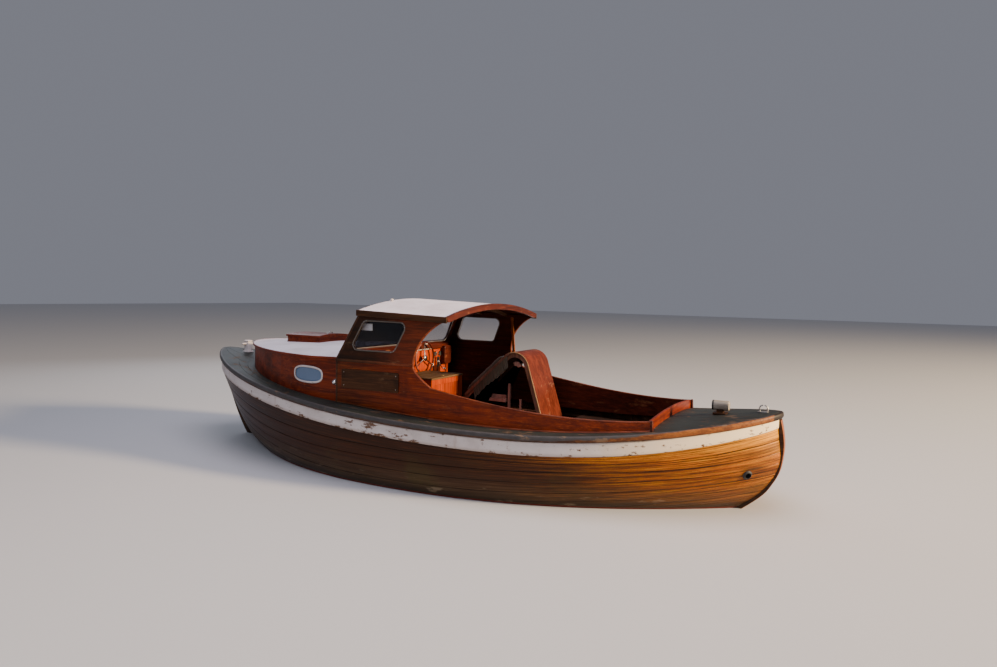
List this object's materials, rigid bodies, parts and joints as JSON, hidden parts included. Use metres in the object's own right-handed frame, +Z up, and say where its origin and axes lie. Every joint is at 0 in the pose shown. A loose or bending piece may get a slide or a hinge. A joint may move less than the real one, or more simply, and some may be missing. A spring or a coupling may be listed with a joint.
{
  "type": "double-ended wooden motor boat",
  "caption": "Double-ended planked wooden motor boat with an open-backed wheelhouse, low cabin forward, cockpit, rudder and propeller, afloat at its waterline.",
  "frame": {"origin": "amidships on the centreline, on the waterline", "axes": "+X to the bow, +Y to port, +Z up"},
  "size_m": [6.6717, 2.4586, 2.425],
  "materials": {
    "planking": "weathered varnish",
    "backbone": "dark, tarred and worn",
    "white": "worn white paint",
    "rail": "varnish",
    "deck": "dirty dark paint",
    "mahogany": "varnish",
    "dark_side": "old dark varnish",
    "roof": "pale paint",
    "orange": "bright varnish",
    "interior": "bare and dirty",
    "glass": "clear",
    "iron": "matt paint",
    "bronze": "dull",
    "chrome": "polished",
    "grey_wood": "bare and weathered",
    "pad": "worn olive cloth"
  },
  "bodies": {
    "boat": {"planking_port": "planking", "planking_stbd": "planking", "sheer_strake_port": "white", "sheer_strake_stbd": "white", "rub_rail_port": "rail", "rub_rail_stbd": "rail", "sternpost": "backbone", "stem": "backbone", "keel": "backbone", "side_deck_port": "deck", "side_deck_stbd": "deck", "deck_aft": "deck", "deck_fore": "deck", "coaming_port": "mahogany", "coaming_stbd": "mahogany", "coaming_aft": "mahogany", "cabin_side_port": "mahogany", "cabin_side_stbd": "mahogany", "window_panel_port": "dark_side", "window_panel_stbd": "dark_side", "windscreen": "mahogany", "roof": "roof", "roof_beam_aft": "orange", "roof_fascia_port": "dark_side", "roof_fascia_stbd": "dark_side", "bulkhead_fore": "mahogany", "trunk_sides": "mahogany", "trunk_top": "roof", "hatch_curb": "mahogany", "bulkhead_aft": "interior", "sole": "interior", "engine": "iron", "engine_box": "orange", "console": "orange", "throttle": "chrome", "seat_back": "orange", "seat_front": "interior", "seat_ribs": "grey_wood", "seat_pad": "pad", "roof_beam_middle": "interior", "roof_beam_fore": "interior", "bench_port": "interior", "bench_stbd": "interior", "bitt_aft": "grey_wood", "bitt_fore": "white", "exhaust": "iron", "side_glass_port": "glass", "side_glass_stbd": "glass", "screen_glass_port": "glass", "screen_glass_stbd": "glass", "cabin_light_port": "glass", "cabin_light_stbd": "glass"},
    "rudder": {"rudder": "backbone"},
    "propeller": {"shaft": "chrome", "propeller": "bronze"},
    "wheel": {"steering_wheel": "chrome"},
    "engine_lid": {"engine_lid": "orange"},
    "cabin_door": {"cabin_door": "orange"},
    "fore_hatch": {"fore_hatch": "mahogany"}
  },
  "joints": [
    {"name": "rudder_turn", "type": "hinge", "parent": "boat", "child": "rudder", "pos_m": [-2.45, 0, 0], "axis": [0, 0, 1], "range_deg": [-35, 35]},
    {"name": "propeller_spin", "type": "hinge", "parent": "boat", "child": "propeller", "pos_m": [-2.2, 0, -0.47], "axis": [0.9917, 0, 0.1289], "continuous": true},
    {"name": "wheel_turn", "type": "hinge", "parent": "boat", "child": "wheel", "pos_m": [0.485, -0.29, 1.06], "axis": [1, 0, 0], "range_deg": [-450, 450]},
    {"name": "engine_lid_hinge", "type": "hinge", "parent": "boat", "child": "engine_lid", "pos_m": [0.42, 0.05, 0.9103], "axis": [0, 1, 0], "range_deg": [0, 85]},
    {"name": "cabin_door_hinge", "type": "hinge", "parent": "boat", "child": "cabin_door", "pos_m": [0.6017, 0.82, 0.64], "axis": [0, 0, -1], "range_deg": [0, 95]},
    {"name": "fore_hatch_hinge", "type": "hinge", "parent": "boat", "child": "fore_hatch", "pos_m": [2.052, 0, 1.262], "axis": [0, 1, 0], "range_deg": [0, 100]}
  ],
  "couplings": [
    {"joint": "wheel_turn", "follows": "rudder_turn", "ratio": 12.857}
  ]
}
